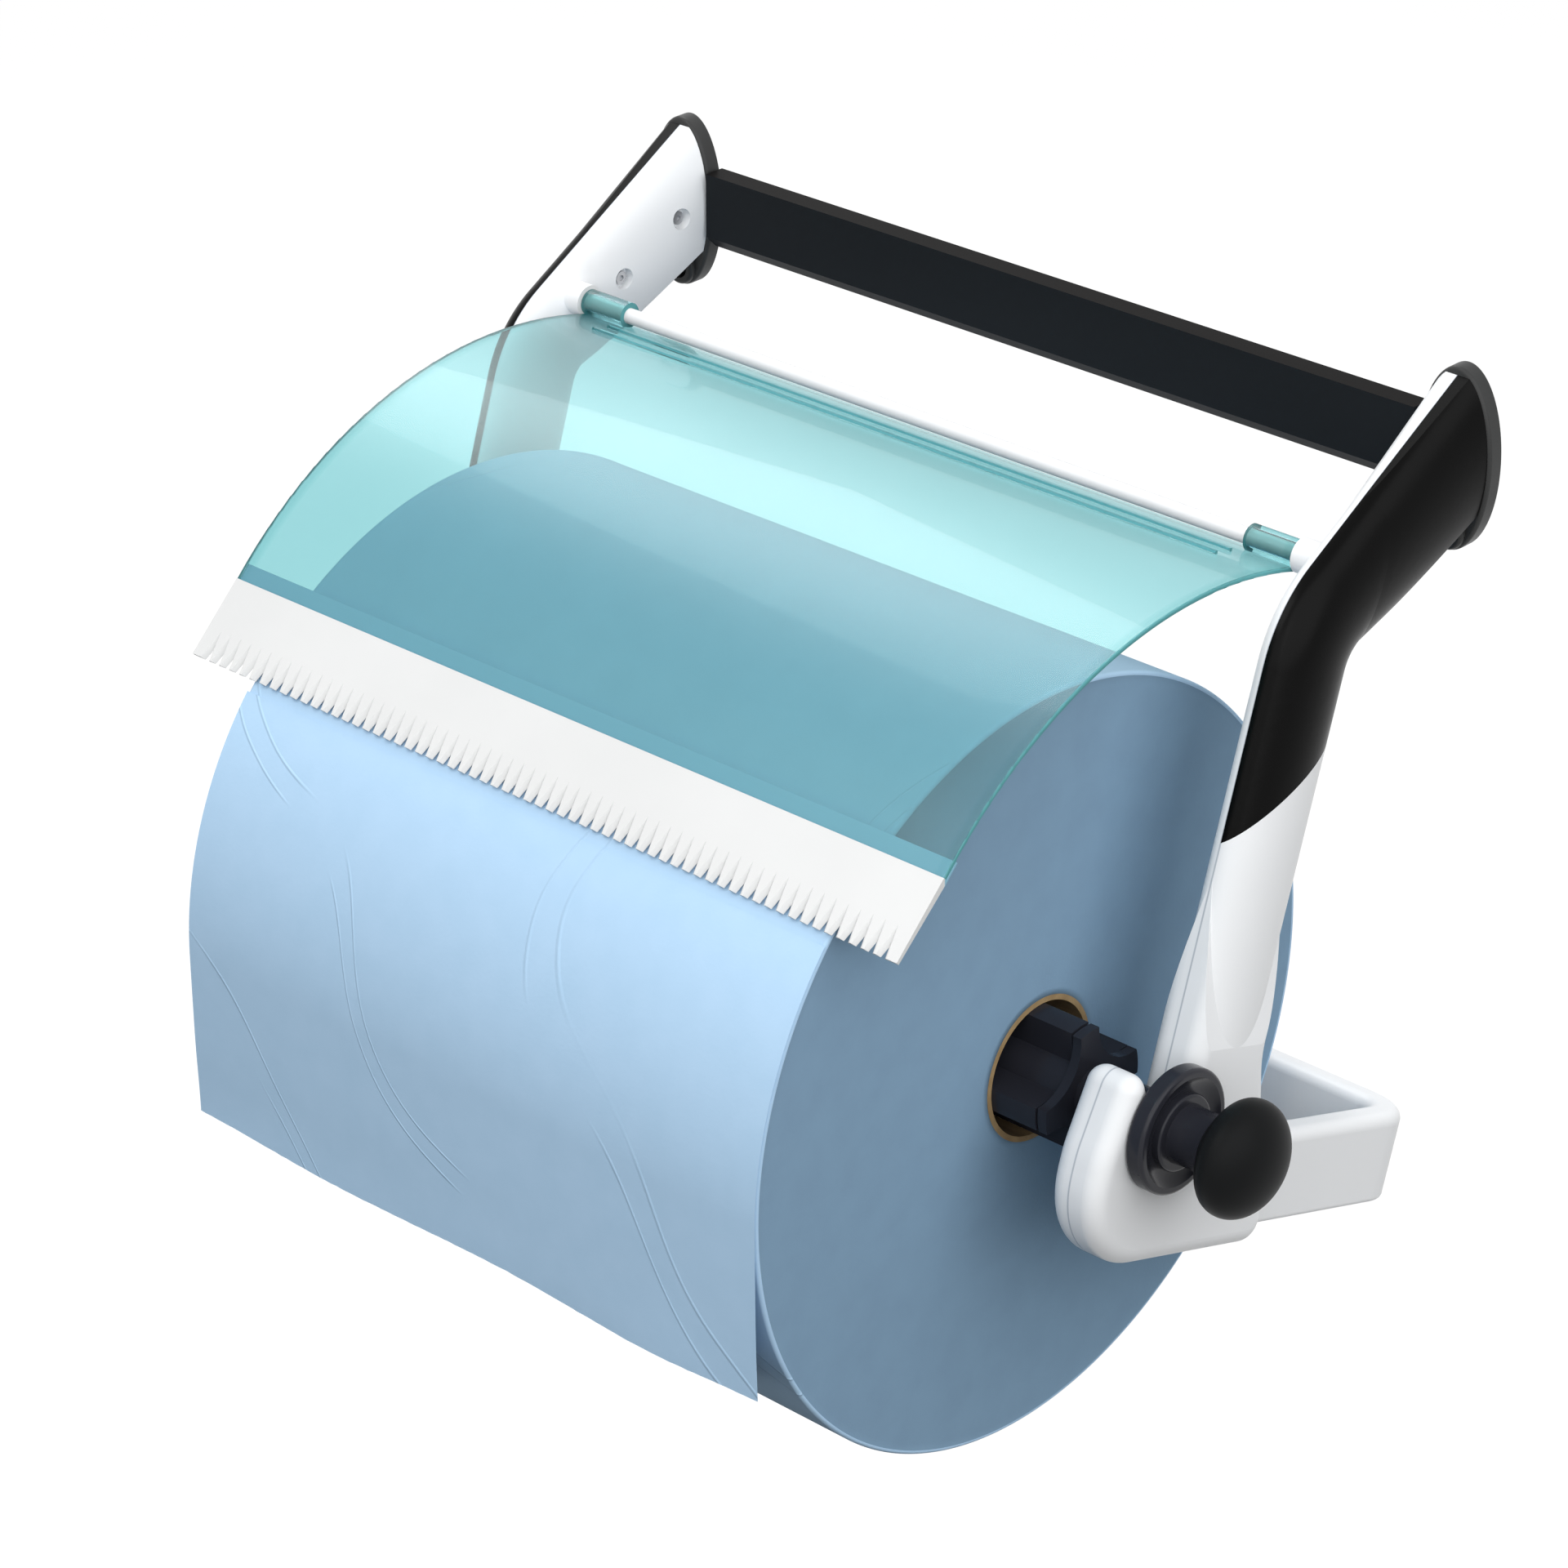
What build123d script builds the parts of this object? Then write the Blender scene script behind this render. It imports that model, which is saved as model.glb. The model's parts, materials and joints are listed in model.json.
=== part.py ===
from build123d import *
import os
from math import atan2, cos, degrees, radians, sin

# Wall-mounted paper roll dispenser. Two hooked arms stand on wall plates that a rail
# joins. The hooks carry an axle with the paper roll, a brace ties the arms together
# below, and a hinged cover with a toothed cutter lies over the roll.
# The origin is on the wall face, at the middle of the rail. Millimetres, +Z up,
# +X to the right as seen from the front, the wall on the +Y side.

# Places that the whole object hangs on
axle_drop = 255.5           # middle of the rail down to the roll's axle
roll_wall_room = 31.5       # wall face to the back of a full roll
roll_side_room = 47.5       # each end of the roll to the inner face of the arm

# Clearances
overrun = 10.0              # how far a cut runs past what it cuts
move_gap = 0.35             # between pieces that move past each other
running_gap = 0.08          # radial, between a shaft and what it turns in
fit_gap = 0.2               # between fixed pieces that slide together

# Paper roll and its hanging tail
roll_diameter = 385.0
roll_width = 372.0
core_outer_diameter = 73.0
core_wall = 2.7
tail_drop = 91.0            # axle height down to the tail's torn edge
tail_top = 6.0              # axle height up to where the tail leaves the roll
tail_thickness = 0.8
tail_wave = 2.2             # how far the torn edge wanders up and down

# Axle
journal_radius = 13.0
axle_tube_radius = 10.0
axle_tube_wall = 1.5
axle_tube_setback = 6.35    # collar's disc in to the tube's end
chuck_hub_radius = 18.0
chuck_reach = 61.0          # how far the chuck goes into the core
chuck_rib_setback = 1.0     # star in to the ends of the ribs
chuck_rib_width = 12.0
chuck_rib_gap = 0.3         # from a rib to the core's bore
chuck_points = 4            # ribs in the core, and points of the star outside it
chuck_turn = 5.0            # degrees that the ribs are turned from upright
star_room = 27.0            # end of the roll to the star
star_thickness = 5.0
star_radius = 33.0
star_waist_radius = 19.0    # where the arcs between two points come nearest the axle
star_arc_radius = 24.0      # of the arcs between two points
chuck_pin_radius = 2.0
chuck_pin_inset = 25.0      # chuck's inner end to its pin
collar_radius = 30.8
collar_thickness = 9.6
collar_dish_depth = 3.4
collar_dish_sag = 0.8       # how far the dish lies under a straight cone
collar_rim = 4.0
collar_round = 2.0
hub_radius = 19.0           # step round the foot of the neck
hub_length = 4.4
hub_round = 1.6
neck_radius = 15.6
neck_waist = 1.4            # depth of the hollow round the neck
neck_length = 20.0
knob_radius = 28.6
knob_length = 31.0
knob_rim_share = 0.42       # share of the knob's length behind its widest circle
knob_back_share = 0.6       # radius of the knob's back, of its widest radius
stud_radius = 4.0
stud_length = 32.0

# Arms, measured square to and along the tilted lower arm
arm_tilt = 18.0             # degrees that the lower arm leans from upright
upper_rise = 29.8           # degrees that the upper arm rises to the wall
arm_width = 56.5
arm_inner_depth = 12.2      # seam to the inner face
arm_outer_depth = 16.3      # seam to the outer face
arm_wall = 3.0
arm_side_wall = 4.5
arm_end_rise = 9.37         # middle of the wall plate up to the arm's middle line
bend_outer_radius = 70.0
bend_inner_radius = 20.0
hook_front = 41.5
hook_drop = 70.0
prong_rise = 38.0
prong_front = 31.0          # axle to the prong's front at its tip
prong_round_share = 0.5     # of the prong's width
prong_mouth_rise = 12.0     # axle up to where the prong's sloping end meets the mouth
prong_mouth_share = 0.72    # of the prong's width, for the rounding at the mouth
prong_lean_drop = 15.0      # below the axle, where the prong begins to lean back
prong_lean_radius = 50.0
belly_share = 0.8           # of the hook's height up to where the prong leans
heel_reach = 106.0
heel_radius = 12.0
flare_rise = 28.0
flare_radius = 45.0
cover_tip_height = 129.0    # axle to the tip of the black arm cover, along the arm at the seam
cover_tip_rise = 49.0       # how far the cover's lower edge climbs across the arm
cover_tip_lift = 10.0       # how far that edge climbs from the seam to the outer face
cover_tip_sag = 1.5
shoulder_height = 34.0      # axle to where the lower arm's oval section begins, at its outer face
shoulder_run = 80.0         # how much higher it begins at the seam

# Fasteners
post_radius = 7.0
screw_radius = 2.0
screw_head_radius = 3.6
screw_head_height = 2.4
screw_recess_radius = 5.6
screw_recess_depth = 3.4
screw_lifts = (3.7, 0.6, 0.0, 0.0, 0.0)       # of each seat, out of the arm's flat face
screw_grip = 9.0            # length of thread in the outer half of the arm
thread_gap = 0.03
socket_radius = 1.6
socket_depth = 1.2
upper_screw_shares = (0.707, 0.423)           # of the way from the bend's corner to the wall
lower_screw_places = (118.0, 40.0, -40.0)     # from the axle, along the lower arm

# Wall plates
plate_width = 42.0
plate_height = 91.7
plate_depth = 9.0
plate_edge_round = 2.0
taper_margin = 0.8          # the arm's end stands back from the plate's edge by this
taper_length = 90.0         # along Y, over which the arm's end narrows to the plate
taper_width_growth = 5.5
taper_height_growth = 11.0
foot_sink = 0.5             # how far the arm's oval foot ends under the arm's own face
lobe_length = 12.0
lobe_gap = 0.3              # lobe to the arm above it
lobe_lift = 1.0             # lobe's lowest line above the plate's
wall_hole_diameter = 6.5
lobe_pocket_radius = 6.2
lobe_floor = 5.0            # material left behind the screw pocket
tongue_length = 28.0
tongue_half_width = 5.0
tongue_inset = 9.0          # edge of the arm in to the tongue
tongue_gap = 1.0            # tongue to the walls of the hollow arm

# Rail
rail_height = 41.1
rail_rise = 0.45            # middle of the rail's section above the origin
rail_depth = 12.0
rail_wall = 2.0
rail_bevel = 7.0
tab_length = 25.0
tab_half_height = 15.0
tab_screw_inset = 10.0
tab_screw_rise = 8.0
tab_screw_length = 7.0
tab_screw_head_radius = 3.6
tab_screw_head_height = 1.6

# Lower brace
brace_thickness = 17.0
brace_outset = 2.5          # seam of the arm out to the brace's outer face
brace_height = 46.0
brace_drop = 67.0           # axle down to the brace's lower face, along the arm
brace_wall = 3.0
brace_corner_radius = 28.0
brace_round = 6.0
brace_lower_round = 2.5
brace_wall_clearance = 1.0
brace_tongue_height = 22.0
brace_screw_inset = 12.0    # from the tongue's end
brace_screw_length = 8.0

# Hinge rod and cover
hinge_along = 39.43         # bend's outer corner to the hinge rod, along the upper arm
hinge_across = 14.67        # upper arm's front edge to the hinge rod
rod_radius = 4.0
rod_end_depth = 5.5         # how far the rod goes into each arm
boss_radius = 8.5
boss_height = 6.6           # how far the boss stands out of the arm
sleeve_radius = 6.75
sleeve_length = 27.6
sleeve_sink = 0.86          # how far the sleeve's round goes into the sheet
cover_radius = 239.5        # outer face of the curved cover
cover_thickness = 2.5
cover_front_gap = 5.16      # roll out to the front edge of the cover's outer face
cover_front_turn = 126.0    # degrees round the axle, from the wall over the top to that edge
cover_rear_overhang = 7.5   # past the hinge, along the sheet
cover_edge_round = 0.8
rib_places = (20.9, 31.8)   # rear edge to each of the two ribs, along the sheet
rib_width = 1.8
rib_height = 1.6

# Cutter
cutter_angle = 133.5        # degrees above the level line to the wall
cutter_tip_reach = 16.5     # tips past the cutter's point of touch with the roll
cutter_gap = 1.0            # cutter to paper
cutter_tip_thickness = 1.9
cutter_lip_length = 9.0
cutter_lip_thickness = 1.0
tooth_pitch = 7.12
tooth_rise = 3.8            # depth of a flute where two flutes meet
flute_length = 15.0
flute_undercut = 1.3        # how far a flute's bottom lies under the cutter at the tips

# Worked-out places
roll_radius = roll_diameter / 2
core_outer_radius = core_outer_diameter / 2
core_inner_radius = core_outer_radius - core_wall
axle_reach = roll_radius + roll_wall_room
arm_inner_face = roll_width / 2 + roll_side_room
arm_seam = arm_inner_face + arm_inner_depth
arm_outer_face = arm_seam + arm_outer_depth
mouth_radius = journal_radius + running_gap
arm_rear = mouth_radius + arm_width
arm_middle = mouth_radius + arm_width / 2
prong_width = prong_front - mouth_radius
prong_round = prong_width * prong_round_share
arm_outer_round = prong_round - fit_gap
arm_inner_round = prong_round - 2 * fit_gap
belly_radius = (hook_drop - prong_lean_drop) * belly_share
tilt_cos, tilt_sin = cos(radians(arm_tilt)), sin(radians(arm_tilt))
rise_cos, rise_sin = cos(radians(upper_rise)), sin(radians(upper_rise))
rise_slope = rise_sin / rise_cos
bend_angle = radians(upper_rise + arm_tilt)
arm_end = -plate_depth
axle_origin = (0, -axle_reach, -axle_drop)
collar_start = arm_outer_face + move_gap
collar_end = collar_start + collar_thickness
neck_end = collar_end + neck_length
boss_face = arm_inner_face - boss_height
cover_half_width = boss_face - 2 * move_gap

# The bend lies where the upper arm's middle line, run down from the wall, meets the lower arm
line_reach = axle_reach - plate_depth - mouth_radius * tilt_cos - arm_width / 2 * rise_sin
line_height = axle_drop + arm_end_rise + mouth_radius * tilt_sin + arm_width / 2 * rise_cos
bend_height = (line_height - line_reach * rise_slope) / (tilt_cos - tilt_sin * rise_slope)
corner_back = mouth_radius * tilt_cos + bend_height * tilt_sin
corner_rise = bend_height * tilt_cos - mouth_radius * tilt_sin
hinge_y = corner_back + hinge_along * rise_cos + hinge_across * rise_sin
hinge_z = corner_rise + hinge_along * rise_sin - hinge_across * rise_cos
os.makedirs("parts", exist_ok=True)


def side_plane(x):
    """Plane at x that faces +X: local x runs to the wall and local y runs up, from the axle."""
    return Plane(origin=(x, -axle_reach, -axle_drop), x_dir=(0, 1, 0), z_dir=(1, 0, 0))


def arm_plane(x):
    """The side plane turned with the lower arm: local y runs up along the arm."""
    return Plane(origin=(x, -axle_reach, -axle_drop), x_dir=(0, tilt_cos, -tilt_sin), z_dir=(1, 0, 0))


def brace_plane(height):
    """Plane square to the lower arm: local x is +X and local y runs back to the wall."""
    return Plane(
        origin=(0, height * tilt_sin - axle_reach, height * tilt_cos - axle_drop),
        x_dir=(1, 0, 0),
        z_dir=(0, tilt_sin, tilt_cos),
    )


def save(piece, name):
    """Label one finished piece and write it."""
    piece.part.label = name
    export_step(piece.part, f"parts/{name}.step")


def save_pair(piece, name):
    """Write a right-hand piece and its left-hand mirror image."""
    with BuildPart() as left:
        add(mirror(piece.part, about=Plane.YZ, mode=Mode.PRIVATE))
    save(piece, f"right_{name}")
    save(left, f"left_{name}")


def upper_arm_point(along, across):
    """Point on the upper arm, from the bend's outer corner, in the arm plane."""
    return (
        mouth_radius + along * cos(bend_angle) + across * sin(bend_angle),
        bend_height + along * sin(bend_angle) - across * cos(bend_angle),
    )


# Arm outline, seen from the side
wall_length = (axle_reach - corner_back) / rise_cos
upper_length = wall_length + arm_width
prong_slope = (prong_rise - prong_mouth_rise) / prong_width
inner_corner_drop = arm_width * cos(bend_angle) / (1 + sin(bend_angle))
screw_places = [upper_arm_point(share * wall_length, arm_width / 2) for share in upper_screw_shares]
screw_places += [(arm_middle, along) for along in lower_screw_places]


def arm_outline():
    """Face of the whole arm: upper arm, bend, lower arm and hook, in the arm plane."""
    with BuildSketch() as outline:
        with BuildLine():
            edge = FilletPolyline(
                upper_arm_point(upper_length, arm_width),
                (arm_rear, bend_height - inner_corner_drop),
                (arm_rear, flare_rise),
                (heel_reach, -hook_drop),
                (-hook_front, -hook_drop),
                (-hook_front, -prong_lean_drop),
                (-prong_front, prong_rise),
                (0, prong_mouth_rise - prong_slope * mouth_radius),
                (mouth_radius, prong_rise),
                (mouth_radius, bend_height),
                upper_arm_point(upper_length, 0),
                radius=[
                    bend_inner_radius,
                    flare_radius,
                    heel_radius,
                    belly_radius,
                    prong_lean_radius,
                    prong_round,
                    running_gap,
                    running_gap,
                    bend_outer_radius,
                ],
            )
            Line(edge @ 1, edge @ 0)
        make_face()
        Circle(mouth_radius, mode=Mode.SUBTRACT)
        mouth_height = prong_rise + overrun
        with Locations((0, mouth_height / 2)):
            Rectangle(2 * mouth_radius, mouth_height, mode=Mode.SUBTRACT)
        prong_corner = outline.vertices().sort_by_distance((-mouth_radius, prong_mouth_rise))[0]
        fillet(prong_corner, radius=prong_width * prong_mouth_share)
    return outline.sketch


def wall_taper(inset):
    """What is cut off an arm so that its end narrows to the oval of its wall plate."""
    end_width = plate_width / 2 - taper_margin - inset
    end_height = plate_height / 2 - taper_margin - inset
    far_drop = taper_length * rise_slope
    near_rise = plate_depth * rise_slope
    near = Plane(origin=(arm_seam, 0, near_rise), x_dir=(1, 0, 0), z_dir=(0, -1, 0))
    far = Plane(origin=(arm_seam, -taper_length, -far_drop), x_dir=(1, 0, 0), z_dir=(0, -1, 0))
    with BuildPart() as keep:
        with BuildSketch(near):
            Ellipse(end_width, end_height)
        with BuildSketch(far):
            Ellipse(end_width + taper_width_growth, end_height + taper_height_growth)
        loft()
    with BuildPart() as waste:
        with Locations((arm_seam, 0, 0)):
            Box(
                4 * plate_width,
                taper_length,
                6 * plate_height,
                align=(Align.CENTER, Align.MAX, Align.CENTER),
            )
        add(keep.part, mode=Mode.SUBTRACT)
    return waste.part


def wall_foot(depth):
    """The oval foot of one arm half, which grows out of the arm towards its wall plate."""
    end_width = plate_width / 2 - taper_margin - fit_gap
    end_height = plate_height / 2 - taper_margin - fit_gap
    far_rise = arm_end_rise - (taper_length - plate_depth) * rise_slope
    near_rise = plate_depth * rise_slope
    near = Plane(origin=(arm_seam, 0, near_rise), x_dir=(1, 0, 0), z_dir=(0, -1, 0))
    far = Plane(origin=(arm_seam, -taper_length, far_rise), x_dir=(1, 0, 0), z_dir=(0, -1, 0))
    with BuildPart() as foot:
        with BuildSketch(near):
            Ellipse(end_width, end_height)
        with BuildSketch(far):
            Ellipse(abs(depth) - foot_sink, arm_width / 2 / rise_cos - foot_sink)
        loft()
        with BuildSketch(arm_plane(arm_seam)):
            add(arm_outline())
        extrude(amount=plate_width if depth > 0 else -plate_width, mode=Mode.INTERSECT)
    return foot.part


def arm_crown(depth, half_width, shoulder):
    """Space of one arm half: oval in section above a sloping shoulder, unbounded below it."""
    side = 1 if depth > 0 else -1
    with BuildPart() as crown:
        with BuildLine(arm_plane(arm_seam)):
            FilletPolyline(
                (arm_middle, 0),
                (arm_middle, bend_height - inner_corner_drop / 2),
                upper_arm_point(upper_length, arm_width / 2),
                radius=bend_outer_radius - arm_width / 2,
            )
        with BuildSketch(brace_plane(0)):
            with Locations((arm_seam, arm_middle)):
                Ellipse(abs(depth), half_width)
                Rectangle(
                    arm_width,
                    2 * arm_width,
                    align=(Align.MAX if depth > 0 else Align.MIN, Align.CENTER),
                    mode=Mode.SUBTRACT,
                )
        sweep()
        reach = abs(depth) + overrun
        outer_level = shoulder + shoulder_run - shoulder_run * reach / abs(depth)
        outer_place = arm_seam + side * reach
        square = Plane(origin=axle_origin, x_dir=(1, 0, 0), z_dir=(0, -tilt_cos, tilt_sin))
        with BuildSketch(square):
            Polygon(
                (arm_seam, shoulder + shoulder_run),
                (arm_seam, -2 * heel_reach),
                (outer_place, -2 * heel_reach),
                (outer_place, outer_level),
                align=None,
            )
        extrude(amount=2 * heel_reach, both=True)
    return crown.part


def arm_cavity(depth):
    """The hollow of one arm half, from the seam to one wall short of its face."""
    with BuildPart() as hollow:
        with BuildSketch(arm_plane(arm_seam)):
            add(arm_outline())
            offset(amount=-arm_side_wall, mode=Mode.REPLACE)
        extrude(amount=depth)
        half_width = arm_width / 2 - arm_side_wall - thread_gap
        shoulder = shoulder_height - 4 * arm_side_wall
        add(arm_crown(depth, half_width, shoulder), mode=Mode.INTERSECT)
        add(wall_taper(arm_wall), mode=Mode.SUBTRACT)
    return hollow.part


def arm_half(depth, edge_round):
    """One hollow half of an arm, with screw posts; an inner half's depth is negative."""
    side = 1 if depth > 0 else -1
    with BuildPart() as half:
        with BuildSketch(arm_plane(arm_seam)):
            add(arm_outline())
        extrude(amount=depth)
        face = half.faces().sort_by(Axis.X)[-1 if depth > 0 else 0]
        rims = face.edges().sort_by(Axis.Y)[:-1]
        fillet(rims, radius=edge_round)
        crown = arm_crown(depth, arm_width / 2 - thread_gap, shoulder_height)
        add(crown, mode=Mode.INTERSECT)
        add(wall_foot(depth))
        add(wall_taper(0), mode=Mode.SUBTRACT)
        add(arm_cavity(depth - side * arm_wall), mode=Mode.SUBTRACT)
        with BuildSketch(arm_plane(arm_seam)):
            with Locations(*screw_places):
                Circle(post_radius)
        extrude(amount=depth - side * arm_wall / 2)
        wall_end = Plane(origin=(0, arm_end, 0), z_dir=(0, 1, 0))
        split(bisect_by=wall_end, keep=Keep.BOTTOM)
    return half.part


# Inner arm shells, with the screw recesses, the hinge boss and the brace's slot
brace_outer_face = arm_seam + brace_outset
brace_inner_face = brace_outer_face - brace_thickness
brace_tongue_start = arm_inner_face + arm_wall + fit_gap
brace_tongue_thickness = arm_seam - fit_gap - brace_tongue_start
brace_tongue_level = brace_height / 2 - brace_drop
brace_tongue_tip = arm_rear
brace_tongue_end = heel_reach + brace_wall
brace_screw_place = (brace_tongue_tip + brace_screw_inset, brace_tongue_level)
with BuildPart() as arm_inner_shell:
    add(arm_half(-arm_inner_depth, arm_inner_round))
    with BuildSketch(side_plane(boss_face)):
        with Locations((hinge_y, hinge_z)):
            Circle(boss_radius)
    extrude(amount=boss_height + 2 * arm_wall)
    with BuildSketch(side_plane(boss_face)):
        with Locations((hinge_y, hinge_z)):
            Circle(rod_radius)
    extrude(amount=boss_height + rod_end_depth, mode=Mode.SUBTRACT)
    with BuildSketch(arm_plane(arm_inner_face)):
        with Locations(brace_screw_place):
            Circle(screw_recess_radius)
    extrude(amount=screw_recess_depth - screw_head_height, mode=Mode.SUBTRACT)
    for place, lift in zip(screw_places, screw_lifts):
        with BuildSketch(arm_plane(arm_inner_face - overrun)):
            with Locations(place):
                Circle(screw_recess_radius)
        extrude(amount=overrun + screw_recess_depth - lift, mode=Mode.SUBTRACT)
    with BuildSketch(arm_plane(arm_inner_face - overrun)):
        with Locations(*screw_places, brace_screw_place):
            Circle(screw_radius + thread_gap)
    extrude(amount=overrun + arm_inner_depth, mode=Mode.SUBTRACT)
    with BuildSketch(arm_plane(brace_tongue_start - fit_gap)):
        with Locations(((brace_tongue_tip + brace_tongue_end) / 2, brace_tongue_level)):
            Rectangle(
                brace_tongue_end - brace_tongue_tip + 2 * fit_gap,
                brace_tongue_height + 2 * fit_gap,
            )
    extrude(amount=brace_tongue_thickness + 2 * fit_gap, mode=Mode.SUBTRACT)
save_pair(arm_inner_shell, "arm_inner_shell")

# Outer arm halves: a black cover from the wall past the bend, and a white shell below it
with BuildPart() as cover_region:
    with BuildSketch(arm_plane(arm_seam)):
        tip_start = (mouth_radius, cover_tip_height)
        tip_end = (arm_rear, cover_tip_height + cover_tip_rise)
        tip_middle = (arm_middle, cover_tip_height + cover_tip_rise / 2 - cover_tip_sag)
        far_reach = arm_rear + axle_reach
        far_height = bend_height + axle_reach
        with BuildLine():
            ThreePointArc(tip_start, tip_middle, tip_end)
            Polyline(
                tip_end,
                (far_reach, cover_tip_height + cover_tip_rise),
                (far_reach, far_height),
                (-hook_front, far_height),
                (-hook_front, cover_tip_height),
                tip_start,
            )
        make_face()
    edge_run = Vector(arm_outer_depth, cover_tip_lift * tilt_sin, cover_tip_lift * tilt_cos)
    extrude(amount=2 * edge_run.length, dir=edge_run)

with BuildPart() as screw_holes:
    with BuildSketch(arm_plane(arm_seam)):
        with Locations(*screw_places):
            Circle(screw_radius + thread_gap)
    extrude(amount=screw_grip + fit_gap)

outer_half = arm_half(arm_outer_depth, arm_outer_round)
with BuildPart() as arm_cover:
    add(outer_half)
    add(cover_region.part, mode=Mode.INTERSECT)
    add(screw_holes.part, mode=Mode.SUBTRACT)
save_pair(arm_cover, "arm_cover")

with BuildPart() as arm_outer_shell:
    add(outer_half)
    add(cover_region.part, mode=Mode.SUBTRACT)
    add(screw_holes.part, mode=Mode.SUBTRACT)
save_pair(arm_outer_shell, "arm_outer_shell")

# Screws that hold the two halves of each arm together
screw_seat = arm_inner_face + screw_recess_depth
screw_top = screw_seat - screw_head_height
with BuildPart() as right_arm_screws:
    for place, lift in zip(screw_places, screw_lifts):
        with BuildSketch(arm_plane(screw_top - lift)):
            with Locations(place):
                Circle(screw_head_radius)
        extrude(amount=screw_head_height)
        with BuildSketch(arm_plane(screw_seat - lift)):
            with Locations(place):
                Circle(screw_radius)
        extrude(amount=arm_seam + screw_grip - screw_seat + lift)
        with BuildSketch(arm_plane(screw_top - lift)):
            with Locations(place):
                RegularPolygon(socket_radius, 6)
        extrude(amount=socket_depth, mode=Mode.SUBTRACT)
with BuildPart() as arm_screws:
    add(right_arm_screws.part)
    add(mirror(right_arm_screws.part, about=Plane.YZ, mode=Mode.PRIVATE))
save(arm_screws, "arm_screws")

# Wall plates: an oval foot with a lobe for the wall screw and a tongue inside the arm
wall_plane = Plane(origin=(arm_seam, 0, 0), x_dir=(1, 0, 0), z_dir=(0, -1, 0))
lobe_bottom = lobe_lift - plate_height / 2
arm_underside = arm_end_rise - arm_width / 2 / rise_cos
arm_topside = arm_end_rise + arm_width / 2 / rise_cos
side_wall_rise = tongue_inset / rise_cos + tongue_gap
tongue_bottom = arm_underside + side_wall_rise
tongue_top = arm_topside - tongue_length * rise_slope - side_wall_rise
lobe_top = arm_underside - (lobe_length - plate_depth) * rise_slope - lobe_gap
lobe_radius = (lobe_top - lobe_bottom) / 2
lobe_level = lobe_bottom + lobe_radius
rail_end = arm_seam - plate_width / 2
tab_end = rail_end + tab_length
tab_screw_place = rail_end + tab_screw_inset
with BuildPart() as wall_plate:
    with BuildSketch(wall_plane):
        Ellipse(plate_width / 2, plate_height / 2)
    extrude(amount=plate_depth)
    fillet(wall_plate.faces().sort_by(Axis.Y)[0].edges(), radius=plate_edge_round)
    with BuildSketch(wall_plane):
        with Locations((0, lobe_level)):
            Circle(lobe_radius)
    extrude(amount=lobe_length)
    fillet(wall_plate.faces().sort_by(Axis.Y)[0].edges(), radius=plate_edge_round)
    with BuildSketch(wall_plane):
        with Locations((0, lobe_level)):
            Circle(wall_hole_diameter / 2)
    extrude(amount=lobe_length, mode=Mode.SUBTRACT)
    with BuildSketch(wall_plane.offset(lobe_floor)):
        with Locations((0, lobe_level)):
            Circle(lobe_pocket_radius)
    extrude(amount=lobe_length, mode=Mode.SUBTRACT)
    with BuildSketch(wall_plane.offset(plate_depth)):
        with Locations((0, (tongue_bottom + tongue_top) / 2)):
            Rectangle(2 * tongue_half_width, tongue_top - tongue_bottom)
    extrude(amount=tongue_length)
    with BuildSketch(arm_plane(arm_seam)):
        with Locations(screw_places[0]):
            Circle(post_radius + fit_gap)
    extrude(amount=arm_outer_depth, both=True, mode=Mode.SUBTRACT)
    with BuildSketch(wall_plane):
        with Locations((rail_end - arm_seam, rail_rise)):
            Rectangle(2 * (tab_length + fit_gap), 2 * (tab_half_height + fit_gap))
    extrude(amount=rail_wall + fit_gap, mode=Mode.SUBTRACT)
    with BuildSketch(wall_plane):
        with Locations((tab_screw_place - arm_seam, rail_rise + tab_screw_rise)):
            Circle(screw_radius + thread_gap)
    extrude(amount=tab_screw_length + fit_gap, mode=Mode.SUBTRACT)
save_pair(wall_plate, "wall_plate")

# Rail: a bent steel channel with a tab at each end that goes behind the wall plate
with BuildPart() as wall_rail:
    with Locations((0, 0, rail_rise)):
        Box(2 * rail_end, rail_depth, rail_height, align=(Align.CENTER, Align.MAX, Align.CENTER))
    front_bottom = wall_rail.edges().filter_by(Axis.X).group_by(Axis.Z)[0].sort_by(Axis.Y)[0]
    chamfer(front_bottom, length=rail_bevel)
    openings = wall_rail.faces().sort_by(Axis.Y)[-1]
    offset(amount=-rail_wall, openings=openings, kind=Kind.INTERSECTION)
    with Locations((0, 0, rail_rise)):
        with GridLocations(2 * tab_end - tab_length, 0, 2, 1):
            Box(
                tab_length,
                rail_wall,
                2 * tab_half_height,
                align=(Align.CENTER, Align.MAX, Align.CENTER),
            )
    with BuildSketch(Plane(origin=(0, 0, rail_rise), x_dir=(1, 0, 0), z_dir=(0, -1, 0))):
        with Locations((0, tab_screw_rise)):
            with GridLocations(2 * tab_screw_place, 0, 2, 1):
                Circle(tab_screw_head_radius + thread_gap)
    extrude(amount=rail_wall, mode=Mode.SUBTRACT)
save(wall_rail, "wall_rail")

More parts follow.
